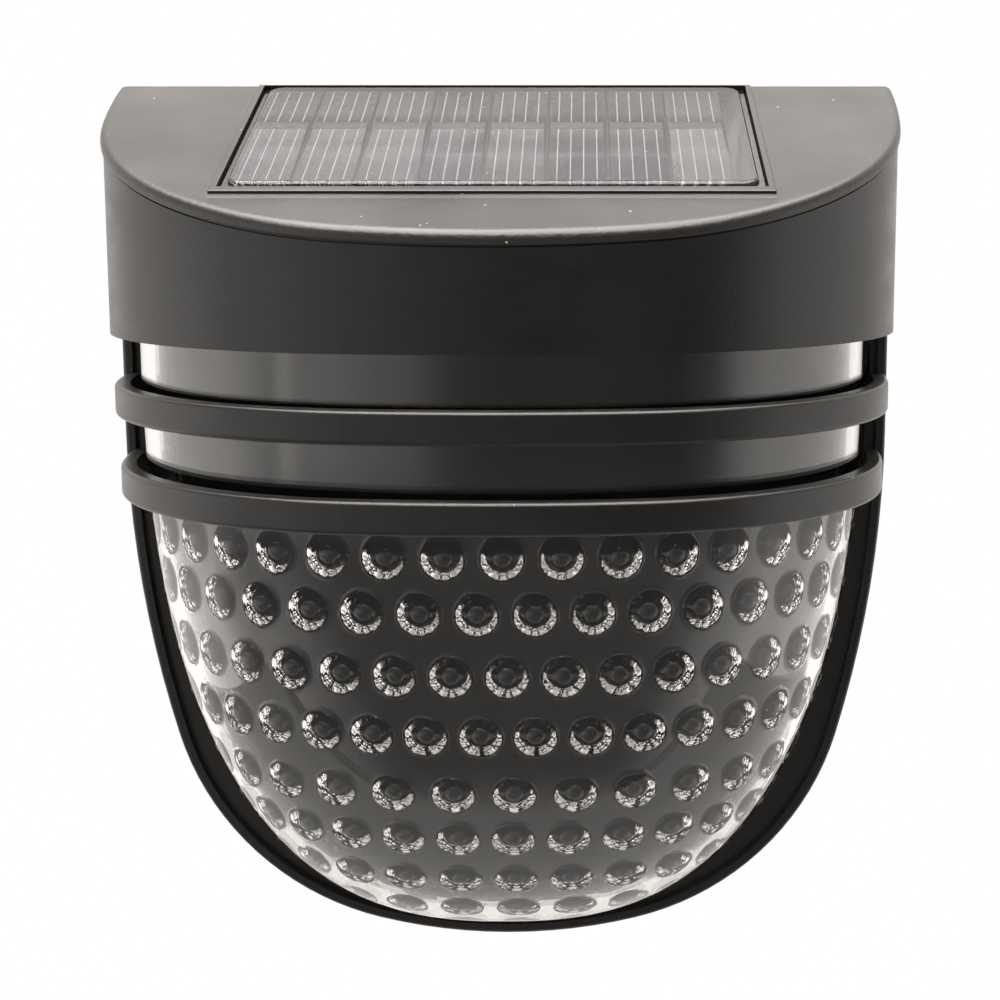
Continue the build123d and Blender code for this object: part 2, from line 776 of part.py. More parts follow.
def end_contact(x_wall, side):
    """Bowed spring leaf between an end wall and the cell; side is +1 when it bows to high X."""
    half = cell_radius / 2
    outer = x_wall + side * contact_thickness
    tip = x_wall + side * (contact_room - fit_gap)
    z = battery_z()
    leaf_low, leaf_high = sorted((x_wall, outer))
    leaf = box_between(leaf_low, leaf_high, battery_y + half, battery_y - half, z - half, z + half)
    tip_low, tip_high = sorted((outer, tip))
    dimple = rod_across(tip_low, tip_high, nub_radius / 2)
    return leaf + dimple


def negative_contact():
    """Leaf at the flat end of the cell."""
    return end_contact(cell_x_high + contact_room, -1)


def positive_contact():
    """Leaf at the nub end of the cell."""
    return end_contact(cell_x_low - nub_length - contact_room, 1)


def lamp_board():
    """Circuit board under the tray, lamps facing down."""
    body = box_between(-lamp_half_x, lamp_half_x, lamp_front, lamp_back, lamp_low_z, lamp_top_z)
    for side in (-1, 1):
        body -= rod_up(side * lamp_screw_x, lamp_front - lamp_screw_inset, lamp_low_z, lamp_top_z,
                       lamp_screw_radius + seat_gap)
    return body


def led_places():
    """X of each lamp."""
    return [(index - (led_count - 1) / 2) * led_pitch for index in range(led_count)]


def led_bodies():
    """White lamp packages on the lower face of the board."""
    y = lamp_front - led_inset
    return joined([box_between(x - led_half_x, x + led_half_x, y + led_half_y, y - led_half_y,
                               lamp_low_z - led_height, lamp_low_z) for x in led_places()])


def led_windows():
    """Phosphor windows of the lamps."""
    low = lamp_low_z - led_height - led_lens_height
    return joined([rod_up(x, lamp_front - led_inset, low, low + led_lens_height, led_half_y - led_lens_inset)
                   for x in led_places()])


def driver_chip():
    """Charge controller on the lamp board."""
    length, width, thick = chip_size
    y = lamp_front - part_inset
    return box_between(-length / 2, length / 2, y + width / 2, y - width / 2, lamp_low_z - thick, lamp_low_z)


def inductor():
    """Small drum inductor on the lamp board."""
    x = 2 * coil_radius + chip_size[0]
    return rod_up(x, lamp_front - part_inset, lamp_low_z - coil_height, lamp_low_z, coil_radius)


# ---- screws ---------------------------------------------------------------------------
def back_screws():
    """Pan-head screws that hold the back cover, shanks towards the front."""
    screws = []
    for x, z in back_screw_places():
        head_front = screw_head_height / 2
        screw = rod_back(x, z, head_front, head_front - screw_head_height / 2, screw_head_radius)
        screw += rod_back(x, z, head_front + screw_length, head_front, boss_bore)
        cross = box_between(x - screw_head_radius / 2, x + screw_head_radius / 2, head_front / 2, 0,
                            z - fit_gap, z + fit_gap)
        cross += box_between(x - fit_gap, x + fit_gap, head_front / 2, 0,
                             z - screw_head_radius / 2, z + screw_head_radius / 2)
        screws.append(screw - cross)
    return joined(screws)


def tray_screws():
    """Screws from below, through the tray into the cover's posts."""
    screws = []
    for x, y in post_places():
        screw = rod_up(x, y, tray_low_z - tray_head_height, tray_low_z, tray_head_radius)
        screw += rod_up(x, y, tray_low_z, tray_top_z + tray_screw_length - seat_gap, post_bore)
        screws.append(screw)
    return joined(screws)


def lamp_screws():
    """Screws from below, through the lamp board into the tray."""
    screws = []
    for side in (-1, 1):
        x, y = side * lamp_screw_x, lamp_front - lamp_screw_inset
        screw = rod_up(x, y, lamp_low_z - lamp_head_height, lamp_low_z, lamp_head_radius)
        screw += rod_up(x, y, lamp_low_z, lamp_low_z + lamp_screw_length, lamp_screw_radius)
        screws.append(screw)
    return joined(screws)


# ---- wires ----------------------------------------------------------------------------
def wire(points):
    """Round wire along straight runs joined by tangent arcs; points are (x, forward, z)."""
    path = FilletPolyline(*[(x, -forward, z) for x, forward, z in points], radius=wire_bend)
    start = Plane(origin=path @ 0, z_dir=path % 0)
    return sweep(start * Circle(wire_radius), path=path)


def wire_port(degrees, z):
    """Point on the ring of wires through the tray's hole, at height z."""
    return (panel_wire_x + port_radius * cos(radians(degrees)),
            panel_wire_y + port_radius * sin(radians(degrees)), z)


def panel_wire(side):
    """Wire from the panel's board straight down through the tray to the lamp board."""
    y = panel_wire_y + side * wire_pitch / 2
    high = roof_z(y, pocket_depth - adhesive_thickness) - wire_radius * fall
    return rod_up(panel_wire_x, y, lamp_top_z, high, wire_radius)


def battery_wire_black():
    """Wire from the negative leaf, over the tray's edge of the holder, to the lamp board."""
    x = cell_x_high + contact_room
    z = battery_z() + wire_lift
    port = wire_port(225, lamp_top_z)
    return wire([(x, battery_y, z), (port[0], battery_y, z),
                 (port[0], port[1], z - wire_reach), port])


def battery_wire_red():
    """Wire from the positive leaf, round the holder's end and along its front, to the lamp board."""
    x = cell_x_low - nub_length - contact_room
    z = battery_z() + wire_lift
    low_z = tray_top_z + wire_off_tray
    front = battery_y + cell_radius + wrap_thickness + holder_gap + holder_wall + wire_radius + fit_gap / 2
    port = wire_port(135, lamp_top_z)
    return wire([(x, battery_y, z), (x - wire_reach, battery_y, z), (x - wire_reach, front, low_z),
                 (port[0], front, low_z), (port[0], port[1], low_z), port])


def switch_wire(pin, degrees, drop):
    """Wire from one switch pin to the lamp board; drop is how far it falls on its way to the tray's hole."""
    x = switch_x + (pin - (pin_count - 1) / 2) * pin_pitch
    z = top_z - switch_drop
    tip = case_front + pin_length
    port = wire_port(degrees, lamp_top_z)
    return wire([(x, tip, z), (x, tip + wire_reach, z), (port[0], port[1], z - drop), port])


def switch_wires():
    """Two wires from the switch's outer pins, one passing over the other."""
    return joined([switch_wire(0, 315, wire_reach), switch_wire(pin_count - 1, 45, 0)])


def build():
    """Make every node and write it."""
    os.makedirs("parts", exist_ok=True)
    nodes = {
        "front_housing": front_housing(),
        "top_cover": top_cover(),
        "panel_adhesive": panel_adhesive(),
        "panel_board": panel_board(),
        "solar_cells": solar_cells(),
        "cell_ribbons": cell_ribbons(),
        "panel_laminate": panel_laminate(),
        "lens": lens(),
        "lens_seal": lens_seal(),
        "back_cover": back_cover(),
        "switch_case": switch_case(),
        "switch_slider": switch_slider(),
        "switch_pins": switch_pins(),
        "lamp_tray": lamp_tray(),
        "battery_cell": battery_cell(),
        "battery_wrap": battery_wrap(),
        "battery_holder": battery_holder(),
        "negative_contact": negative_contact(),
        "positive_contact": positive_contact(),
        "lamp_board": lamp_board(),
        "led_bodies": led_bodies(),
        "led_windows": led_windows(),
        "driver_chip": driver_chip(),
        "inductor": inductor(),
        "back_screws": back_screws(),
        "tray_screws": tray_screws(),
        "lamp_screws": lamp_screws(),
        "panel_wire_red": panel_wire(1),
        "panel_wire_black": panel_wire(-1),
        "battery_wire_red": battery_wire_red(),
        "battery_wire_black": battery_wire_black(),
        "switch_wires": switch_wires(),
    }
    for name, shape in nodes.items():
        save(name, shape)


build()
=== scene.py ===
from math import cos, pi, radians, sin

import bmesh
import bpy
import numpy as np
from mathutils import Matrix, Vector, geometry


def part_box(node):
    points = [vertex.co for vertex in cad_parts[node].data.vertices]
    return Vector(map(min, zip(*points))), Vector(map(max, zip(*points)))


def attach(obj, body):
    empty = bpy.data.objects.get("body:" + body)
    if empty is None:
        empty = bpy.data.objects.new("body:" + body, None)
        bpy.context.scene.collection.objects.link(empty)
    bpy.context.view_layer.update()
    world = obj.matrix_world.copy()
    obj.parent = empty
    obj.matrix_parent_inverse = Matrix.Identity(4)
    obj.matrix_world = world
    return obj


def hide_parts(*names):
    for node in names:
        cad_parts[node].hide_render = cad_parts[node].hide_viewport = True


# Solar fence light: a sloping black cap with a solar panel, two hoops and a dimpled clear lens.
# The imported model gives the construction. This script gives every surface its finish, and makes
# the lens with its dimples and its flange, and the silver lines on the cells.

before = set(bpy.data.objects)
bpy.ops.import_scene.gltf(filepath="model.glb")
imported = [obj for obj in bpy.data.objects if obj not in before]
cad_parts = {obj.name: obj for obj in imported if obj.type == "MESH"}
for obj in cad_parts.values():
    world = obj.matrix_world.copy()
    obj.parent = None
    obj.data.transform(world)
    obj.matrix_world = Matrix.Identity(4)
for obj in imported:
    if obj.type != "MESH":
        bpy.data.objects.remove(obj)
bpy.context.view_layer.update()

mm = 0.001
body = "light"
seam_distance = 0.002 * mm     # points nearer than this are merged where a mesh closes
curve_samples = 4001           # points along which the length of a curve is summed

# ---- places taken over from the frame --------------------------------------------------------
lens_low, lens_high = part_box("lens")
cells_low, cells_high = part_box("solar_cells")
ribbon_low, ribbon_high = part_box("cell_ribbons")

# ---- the cap's slope -------------------------------------------------------------------------
top_edge_z = 12.5 * mm
top_angle = radians(19.8)
cell_top = -0.35 * mm          # the cells' face, measured square off the slope

# ---- lens ------------------------------------------------------------------------------------
lens_flange_reach = 1.35 * mm  # flange beyond the lens body at each side
lens_flange_drop = 1.85 * mm   # and below its lowest point
lens_back = 3.0 * mm           # back face in front of the back plane
lens_flange_thickness = 1.2 * mm
flange_centre_z = -50.0 * mm   # centre that the flange's outlines are swept round
flange_columns = 160           # sections of the flange from one top end to the other
flange_inner_points = 97       # points of its inner edge below the bend
lens_wall = 1.8 * mm
lens_reach = 46.1 * mm         # front of the upright part in front of the back plane
lens_bend_z = -17.5 * mm       # the lens is upright above this and closes below it
plan_power = 2.44              # superellipse of the lens seen from above
close_power = 2.6              # superellipse along which it closes
lens_columns = 92              # coarse grid of the outer face, from one side to the other
lens_upright_rows = 1          # and its rows above the bend
lens_closing_rows = 56         # and below it
dimple_share = 4               # fine cells of the inner face to one coarse cell
dimple_radius = 2.5 * mm
dimple_depth = 1.45 * mm
# rows of dimples on the inner face, in mm: length from the bend, spacing, first dimple off the middle
dimple_rows = ((23.8, 6.6, 1.1), (30.4, 6.5, -1.8), (38.0, 6.4, 1.5), (45.7, 6.3, -1.65),
               (53.8, 7.1, 2.05), (60.9, 6.55, 1.8), (68.6, 6.7, 1.9), (76.4, 7.0, 2.0),
               (84.0, 6.9, 2.0), (91.2, 6.9, 2.0), (98.2, 6.9, 2.0))

# ---- solar cells -----------------------------------------------------------------------------
cell_count = 8
cell_gap = 0.3 * mm
finger_count = 4
finger_pitch = 1.54 * mm
finger_width = 0.12 * mm
finger_height = 0.02 * mm
finger_margin = 0.4 * mm       # from a cell's back and front edges
band_half = 1.45 * mm          # half of the stretch round the ribbons that has no fingers


# ---- meshes ----------------------------------------------------------------------------------
def new_piece(name, points, faces, material, smooth=True):
    """Mesh object in place, riding on the light's body and material."""
    mesh = bpy.data.meshes.new(name)
    mesh.from_pydata(points, [], faces)
    mesh.validate()
    mesh.materials.append(material)
    mesh.polygons.foreach_set("use_smooth", [smooth] * len(mesh.polygons))
    mesh.update()
    piece = bpy.data.objects.new(name, mesh)
    bpy.context.scene.collection.objects.link(piece)
    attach(piece, body)
    return piece


def close_seams(piece, distance):
    """Merge points that lie together, then turn all faces outwards."""
    work = bmesh.new()
    work.from_mesh(piece.data)
    bmesh.ops.remove_doubles(work, verts=work.verts, dist=distance)
    bmesh.ops.recalc_face_normals(work, faces=work.faces)
    work.to_mesh(piece.data)
    work.free()


def grid_faces(rows, columns, first=0):
    """Quads of a grid of rows times columns points, numbered row by row from first."""
    corner = first + np.arange((rows - 1) * columns).reshape(rows - 1, columns)[:, :-1].ravel()
    return np.stack([corner, corner + 1, corner + columns + 1, corner + columns], axis=1).tolist()


def on_slope(x, down, up):
    """Points of the cap's sloping top: x across, down the slope from the top edge, up off its face."""
    y = -down * cos(top_angle) - up * sin(top_angle)
    z = top_edge_z - down * sin(top_angle) + up * cos(top_angle)
    return np.stack(np.broadcast_arrays(x, y, z), axis=-1)


# ---- lens ------------------------------------------------------------------------------------
def plan_curve(half, reach):
    """Front half of the plan outline |x/half|^n + |y/reach|^n = 1, from right to left.

    Returns x, the distance in front of the back plane, the share of the length, and the length."""
    turn = np.linspace(0, pi, curve_samples)
    across = half * np.sign(np.cos(turn)) * np.abs(np.cos(turn)) ** (2 / plan_power)
    along = reach * np.sin(turn) ** (2 / plan_power)
    length = np.concatenate([[0], np.cumsum(np.hypot(np.diff(across), np.diff(along)))])
    return across, along, length / length[-1], length[-1]


def closing_curve(reach, drop):
    """Profile below the bend, share^n + (depth/drop)^n = 1.

    Returns the share of the plan that is left, the depth, and the length from the bend."""
    turn = np.linspace(0, pi / 2, curve_samples)
    share = np.cos(turn) ** (2 / close_power)
    depth = drop * np.sin(turn) ** (2 / close_power)
    length = np.concatenate([[0], np.cumsum(np.hypot(reach * np.diff(share), np.diff(depth)))])
    return share, depth, length


def lens_levels(reach, drop, top, rows_upright, rows_closing):
    """Height, share of the plan and length from the bend for each row, from the top edge to the tip."""
    share, depth, length = closing_curve(reach, drop)
    tip = np.interp(-lens_back / reach, -share, length)
    down = np.linspace(0, tip, rows_closing + 1)
    up = np.linspace(lens_bend_z - top, 0, rows_upright + 1)[:-1]
    run = np.concatenate([up, down])
    level = lens_bend_z - np.minimum(run, 0) - np.interp(run, length, depth)
    return level, np.interp(run, length, share), run


def lens_face(inset, rows_upright, rows_closing, columns):
    """One face of the lens wall: a grid of points, with their lengths off the middle and from the bend.

    The plan outline is scaled by each level's share and cut where it meets the flange's back face.
    A column is an equal share of what is left of that outline's length."""
    half = lens_high.x - lens_flange_reach - inset
    reach = lens_reach - inset
    drop = lens_bend_z - (lens_low.z + lens_flange_drop) - inset
    across, along, part, total = plan_curve(half, reach)
    level, share, run = lens_levels(reach, drop, lens_high.z, rows_upright, rows_closing)
    middle = len(part) // 2
    cut = np.minimum(lens_back / share, along[middle])
    start = np.interp(cut, along[:middle + 1], part[:middle + 1])
    column = np.linspace(0, 1, columns + 1)
    place = start[:, None] + (1 - 2 * start[:, None]) * column[None, :]
    x = share[:, None] * np.interp(place, part, across)
    y = -share[:, None] * np.interp(place, part, along)
    z = np.broadcast_to(level[:, None], x.shape)
    off_middle = (0.5 - place) * (share * total)[:, None]
    return np.stack([x, y, z], axis=-1), off_middle, np.broadcast_to(run[:, None], x.shape)


def pocket_depth(across, run):
    """Depth of the dimples: each is a ball's cap of the given radius and depth, pressed into the wall.

    A point belongs to the row that is nearest along the face, and in it to the nearest dimple."""
    length, spacing, shift = np.array(dimple_rows).T * mm
    row = np.searchsorted((length[1:] + length[:-1]) / 2, run)
    sideways = (across - shift[row] + spacing[row] / 2) % spacing[row] - spacing[row] / 2
    lengthways = run - length[row]
    ball = (dimple_radius ** 2 + dimple_depth ** 2) / (2 * dimple_depth)
    inside = np.maximum(ball ** 2 - sideways ** 2 - lengthways ** 2, 0)
    return np.maximum(np.sqrt(inside) - (ball - dimple_depth), 0)


def outward_normals(points):
    """Unit normals of a grid, from the cross product of its two directions, towards the outside."""
    down = np.gradient(points, axis=0)
    across = np.gradient(points, axis=1)
    normal = np.cross(across, down)
    return normal / np.maximum(np.linalg.norm(normal, axis=-1, keepdims=True), 1e-12)


def edge_strip(coarse, fine):
    """Flat faces between a coarse and a fine edge, from each coarse span to its share of fine spans."""
    faces = []
    for span in range(len(coarse) - 1):
        inner = fine[span * dimple_share:(span + 1) * dimple_share + 1]
        faces.append([coarse[span + 1], coarse[span]] + list(inner))
    return faces


def make_lens(material):
    """Clear lens: a smooth outer face, and an inner face with rows of round pockets."""
    rows = lens_upright_rows + lens_closing_rows + 1
    outer, _, _ = lens_face(0, lens_upright_rows, lens_closing_rows, lens_columns)
    fine_rows = (rows - 1) * dimple_share + 1
    fine_columns = lens_columns * dimple_share
    inner, across, run = lens_face(lens_wall, lens_upright_rows * dimple_share,
                                   lens_closing_rows * dimple_share, fine_columns)
    inner = inner + pocket_depth(across, run)[..., None] * outward_normals(inner)
    points = np.concatenate([outer.reshape(-1, 3), inner.reshape(-1, 3)])
    first = outer.shape[0] * outer.shape[1]
    faces = grid_faces(rows, lens_columns + 1) + grid_faces(fine_rows, fine_columns + 1, first)
    near = np.arange(first).reshape(rows, lens_columns + 1)
    far = first + np.arange(fine_rows * (fine_columns + 1)).reshape(fine_rows, fine_columns + 1)
    faces += edge_strip(near[0], far[0]) + edge_strip(near[:, 0], far[:, 0])
    faces += edge_strip(near[:, -1], far[:, -1])
    piece = new_piece("dimpled_lens", points, faces, material)
    close_seams(piece, seam_distance)
    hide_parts("lens")
    return piece


def round_centre(curve, angle):
    """Points where rays at the given angles from the flange's centre cross a curve of (x, z) points.

    Each span is divided evenly, and the distance from the centre is read off by angle."""
    divisions = 40
    between = np.linspace(0, 1, divisions, endpoint=False)[None, :, None]
    dense = (curve[:-1, None] + between * (curve[1:, None] - curve[:-1, None])).reshape(-1, 2)
    dense = np.concatenate([dense, curve[-1:]]) - (0, flange_centre_z)
    turn = np.arctan2(dense[:, 0], -dense[:, 1])
    order = np.argsort(turn)
    radius = np.interp(angle, turn[order], np.hypot(*dense.T)[order])
    return np.stack([radius * np.sin(angle), flange_centre_z - radius * np.cos(angle)], axis=1)


def packed_lens_outline():
    """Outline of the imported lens's back face as (x, z) points: their convex hull, in order of angle."""
    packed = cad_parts["lens"].data.vertices
    points = np.empty(3 * len(packed))
    packed.foreach_get("co", points)
    points = points.reshape(-1, 3)
    on_back_face = np.abs(points[:, 1] + lens_back) < 0.01 * mm
    back = points[on_back_face][:, [0, 2]]
    hull = back[geometry.convex_hull_2d(back.tolist())]
    return hull[np.argsort(np.arctan2(hull[:, 0], flange_centre_z - hull[:, 1]))]


def flange_inner_edge():
    """Inner edge of the flange, at the middle of the lens wall: (x, z) points from right to left.

    It is upright down to the bend, and below it |x/half|^n + (depth/drop)^n = 1."""
    half = lens_high.x - lens_flange_reach - lens_wall / 2
    drop = lens_bend_z - lens_low.z - lens_flange_drop - lens_wall / 2
    turn = np.linspace(0, pi, flange_inner_points)
    side = half * np.sign(np.cos(turn)) * np.abs(np.cos(turn)) ** (2 / close_power)
    depth = drop * np.sin(turn) ** (2 / close_power)
    closing = np.stack([side, lens_bend_z - depth], axis=1)
    return np.concatenate([[(half, lens_high.z)], closing, [(-half, lens_high.z)]])


def make_lens_flange(material):
    """Flat flange round the lens: a four-sided section carried down one side, round the tip and up.

    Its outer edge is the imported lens's own outline, and its inner edge lies inside the lens wall."""
    outer = packed_lens_outline()
    inner = flange_inner_edge()
    front = lens_back + lens_flange_thickness
    limit = np.arctan2(lens_high.x, flange_centre_z - lens_high.z)
    angle = np.linspace(-limit, limit, flange_columns)
    edges = []
    for curve, y in ((inner, lens_back), (outer, lens_back), (outer, front), (inner, front)):
        edges.append(np.insert(round_centre(curve, angle), 1, -y, axis=1))
    points = np.stack(edges, axis=1).reshape(-1, 3)
    quads = []
    for edge in range(4):
        a = np.arange(flange_columns - 1) * 4 + edge
        b = np.arange(flange_columns - 1) * 4 + (edge + 1) % 4
        quads += np.stack([a, b, b + 4, a + 4], axis=1).tolist()
    last = 4 * (flange_columns - 1)
    quads += [[0, 1, 2, 3], [last + 3, last + 2, last + 1, last]]
    piece = new_piece("lens_flange", points, quads, material, smooth=False)
    close_seams(piece, seam_distance)
    return piece


# ---- solar panel -----------------------------------------------------------------------------
def bars(x_low, x_high, near, reach, low, high):
    """Boxes on the slope, one for each entry of the arrays of limits: points and faces."""
    corners = []
    for down, up in ((near, low), (near, high), (reach, high), (reach, low)):
        for x in (x_low, x_high):
            corners.append(on_slope(x, down, up))
    points = np.stack(np.broadcast_arrays(*corners), axis=1)
    box = np.array([[0, 1, 3, 2], [2, 3, 5, 4], [4, 5, 7, 6], [6, 7, 1, 0],
                    [0, 2, 4, 6], [1, 7, 5, 3]])
    faces = box[None] + 8 * np.arange(len(points))[:, None, None]
    return points.reshape(-1, 3), faces.reshape(-1, 4).tolist()


def slope_run(low, high):
    """Limits down the slope of a thin piece that lies in it, from its box."""
    near = -high.y / cos(top_angle) - cell_top * sin(top_angle) / cos(top_angle)
    reach = -low.y / cos(top_angle) - cell_top * sin(top_angle) / cos(top_angle)
    return near, reach


def make_cell_fingers(material):
    """Printed silver lines on the cells: each stops short of the ribbons and of the cell's edges."""
    near, reach = slope_run(cells_low, cells_high)
    ribbon_near, ribbon_reach = slope_run(ribbon_low, ribbon_high)
    middle = (ribbon_near + ribbon_reach) / 2
    pitch = (cells_high.x - cells_low.x + cell_gap) / cell_count
    centre = cells_low.x + (pitch - cell_gap) / 2 + pitch * np.arange(cell_count)
    offset = (np.arange(finger_count) - (finger_count - 1) / 2) * finger_pitch
    x = (centre[:, None] + offset[None, :]).ravel()
    points = []
    faces = []
    stretches = ((near + finger_margin, middle - band_half),
                 (middle + band_half, reach - finger_margin))
    for start, end in stretches:
        more, quads = bars(x - finger_width / 2, x + finger_width / 2, start, end, cell_top,
                           cell_top + finger_height)
        first = sum(len(p) for p in points)
        faces += (np.array(quads) + first).tolist()
        points.append(more)
    points = np.concatenate(points)
    piece = new_piece("cell_fingers", points, faces, material, smooth=False)
    close_seams(piece, 0)      # the bars share no seams, so only their faces are turned outwards
    return piece


# ---- node helpers ----------------------------------------------------------------------------
def node(tree, kind, inputs=None, **settings):
    """New node; inputs maps a socket's name or number to a value or to another node's output."""
    made = tree.nodes.new(kind)
    for key, value in settings.items():
        setattr(made, key, value)
    for key, value in (inputs or {}).items():
        socket = made.inputs[key]
        if isinstance(value, bpy.types.NodeSocket):
            tree.links.new(value, socket)
        else:
            socket.default_value = value
    return made


def maths(tree, operation, a, b=0.0, c=0.5, clamp=False):
    """Output of a Math node; c is what MULTIPLY_ADD adds."""
    inputs = {0: a, 1: b, 2: c}
    return node(tree, "ShaderNodeMath", inputs, operation=operation, use_clamp=clamp).outputs[0]


def spread(tree, value, low, high, to_low=0.0, to_high=1.0):
    """Output of a clamped linear Map Range."""
    inputs = {"Value": value, "From Min": low, "From Max": high, "To Min": to_low, "To Max": to_high}
    return node(tree, "ShaderNodeMapRange", inputs).outputs["Result"]


def soft_step(tree, value, low, high):
    """Output of a Map Range with soft ends, from 0 at low to 1 at high."""
    inputs = {"Value": value, "From Min": low, "From Max": high}
    return node(tree, "ShaderNodeMapRange", inputs, interpolation_type="SMOOTHSTEP").outputs["Result"]


def blend(tree, share, first, second):
    """Output of a number Mix: first where share is 0, second where it is 1."""
    return node(tree, "ShaderNodeMix", {0: share, 2: first, 3: second}).outputs[0]


def tint(tree, share, first, second):
    """Output of a colour Mix: first where share is 0, second where it is 1."""
    mix = tree.nodes.new("ShaderNodeMix")
    mix.data_type = "RGBA"
    for name, value in (("Factor", share), ("A", first), ("B", second)):
        kind = "VALUE" if name == "Factor" else "RGBA"
        socket = next(s for s in mix.inputs if s.name == name and s.type == kind)
        if isinstance(value, bpy.types.NodeSocket):
            tree.links.new(value, socket)
        else:
            socket.default_value = value
    return next(s for s in mix.outputs if s.type == "RGBA")


def rgb(red, green, blue):
    """Colour with full opacity."""
    return (red, green, blue, 1.0)


def new_group(name, inputs, outputs):
    """Empty shader node group with named sockets: the tree, its input node and its output node.

    An input whose default is None is a vector, and the others are numbers."""
    tree = bpy.data.node_groups.new(name, "ShaderNodeTree")
    for socket, default in inputs.items():
        kind = "NodeSocketVector" if default is None else "NodeSocketFloat"
        made = tree.interface.new_socket(socket, in_out="INPUT", socket_type=kind)
        if default is not None:
            made.default_value = default
    for socket in outputs:
        tree.interface.new_socket(socket, in_out="OUTPUT", socket_type="NodeSocketFloat")
    return tree, tree.nodes.new("NodeGroupInput"), tree.nodes.new("NodeGroupOutput")


def use_group(tree, group, inputs):
    """Place a group in a material with its own values."""
    made = tree.nodes.new("ShaderNodeGroup")
    made.node_tree = group
    for name, value in inputs.items():
        if isinstance(value, bpy.types.NodeSocket):
            tree.links.new(value, made.inputs[name])
        else:
            made.inputs[name].default_value = value
    return made.outputs


# ---- shared effects --------------------------------------------------------------------------
def grain_group():
    """Fine grain of a spark-eroded mould: height, and a slow drift of the finish over the surface."""
    tree, take, give = new_group("mould grain", {"Vector": None, "Scale": 2500.0, "Drift": 40.0},
                                 ("Height", "Drift"))
    place = take.outputs["Vector"]
    fine = node(tree, "ShaderNodeTexNoise", {"Vector": place, "Scale": take.outputs["Scale"],
                                             "Detail": 3.0, "Roughness": 0.6})
    slow = node(tree, "ShaderNodeTexNoise", {"Vector": place, "Scale": take.outputs["Drift"],
                                             "Detail": 4.0, "Roughness": 0.55})
    tree.links.new(fine.outputs[0], give.inputs["Height"])
    tree.links.new(spread(tree, slow.outputs[0], 0.3, 0.7), give.inputs["Drift"])
    return tree


def dust_group():
    """Dust: small pale flecks, far more of them on faces that look up, and a thin film there."""
    tree, take, give = new_group("settled dust", {"Vector": None, "Scale": 1500.0, "Amount": 0.5},
                                 ("Flecks", "Film"))
    place = take.outputs["Vector"]
    cells = node(tree, "ShaderNodeTexVoronoi", {"Vector": place, "Scale": take.outputs["Scale"],
                                                "Randomness": 1.0})
    pick = node(tree, "ShaderNodeSeparateColor", {0: cells.outputs["Color"]})
    facing = node(tree, "ShaderNodeNewGeometry").outputs["Normal"]
    normal = node(tree, "ShaderNodeSeparateXYZ", {0: facing})
    upward = spread(tree, normal.outputs["Z"], 0.2, 0.9)
    share = maths(tree, "MULTIPLY", take.outputs["Amount"], maths(tree, "ADD", upward, 0.12))
    chosen = maths(tree, "LESS_THAN", pick.outputs[0], maths(tree, "MULTIPLY", share, 0.02))
    size = maths(tree, "MULTIPLY", pick.outputs[1], 0.22)
    spot = spread(tree, maths(tree, "SUBTRACT", cells.outputs["Distance"], size), 0.0, 0.08, 1.0, 0.0)
    film = node(tree, "ShaderNodeTexNoise", {"Vector": place, "Scale": 60.0, "Detail": 5.0})
    tree.links.new(maths(tree, "MULTIPLY", spot, chosen), give.inputs["Flecks"])
    cover = maths(tree, "MULTIPLY", spread(tree, film.outputs[0], 0.3, 0.75), upward)
    tree.links.new(maths(tree, "MULTIPLY", cover, take.outputs["Amount"]), give.inputs["Film"])
    return tree


def handling_group():
    """Marks of handling: faint rubbed streaks and patches that change the gloss."""
    tree, take, give = new_group("handling marks", {"Vector": None, "Scale": 90.0}, ("Rubbed",))
    squeezed = node(tree, "ShaderNodeMapping", {"Vector": take.outputs["Vector"],
                                                "Scale": (1.0, 1.0, 4.0)})
    streak = node(tree, "ShaderNodeTexNoise", {"Vector": squeezed.outputs[0],
                                               "Scale": take.outputs["Scale"], "Detail": 6.0,
                                               "Roughness": 0.65, "Distortion": 0.6})
    tree.links.new(spread(tree, streak.outputs[0], 0.45, 0.75), give.inputs["Rubbed"])
    return tree


def scratch_group():
    """Hair scratches: thin crests of two noise fields, each turned and strongly stretched."""
    tree, take, give = new_group("hair scratches", {"Vector": None, "Scale": 300.0}, ("Scratch",))
    total = None
    for turn, stretch in ((0.4, 26.0), (1.9, 34.0)):
        turned = node(tree, "ShaderNodeMapping", {"Vector": take.outputs["Vector"],
                                                  "Rotation": (turn, turn / 2, turn),
                                                  "Scale": (1, stretch, 1)})
        line = node(tree, "ShaderNodeTexNoise", {"Vector": turned.outputs[0],
                                                 "Scale": take.outputs["Scale"], "Detail": 2.0})
        thin = spread(tree, line.outputs[0], 0.68, 0.74)
        total = thin if total is None else maths(tree, "MAXIMUM", total, thin)
    tree.links.new(total, give.inputs["Scratch"])
    return tree


grain = grain_group()
dust = dust_group()
handling = handling_group()
scratches = scratch_group()


# ---- materials -------------------------------------------------------------------------------
def new_material(name):
    """Material with an empty tree, its Principled shader and the object coordinates."""
    made = bpy.data.materials.new(name)
    made.use_nodes = True
    tree = made.node_tree
    tree.nodes.clear()
    shader = tree.nodes.new("ShaderNodeBsdfPrincipled")
    output = tree.nodes.new("ShaderNodeOutputMaterial")
    tree.links.new(shader.outputs[0], output.inputs["Surface"])
    place = tree.nodes.new("ShaderNodeTexCoord").outputs["Object"]
    return made, tree, shader, place


def set_bump(tree, shader, height, strength, distance):
    """Bump from a height output."""
    bump = node(tree, "ShaderNodeBump", {"Strength": strength, "Distance": distance, "Height": height})
    tree.links.new(bump.outputs[0], shader.inputs["Normal"])


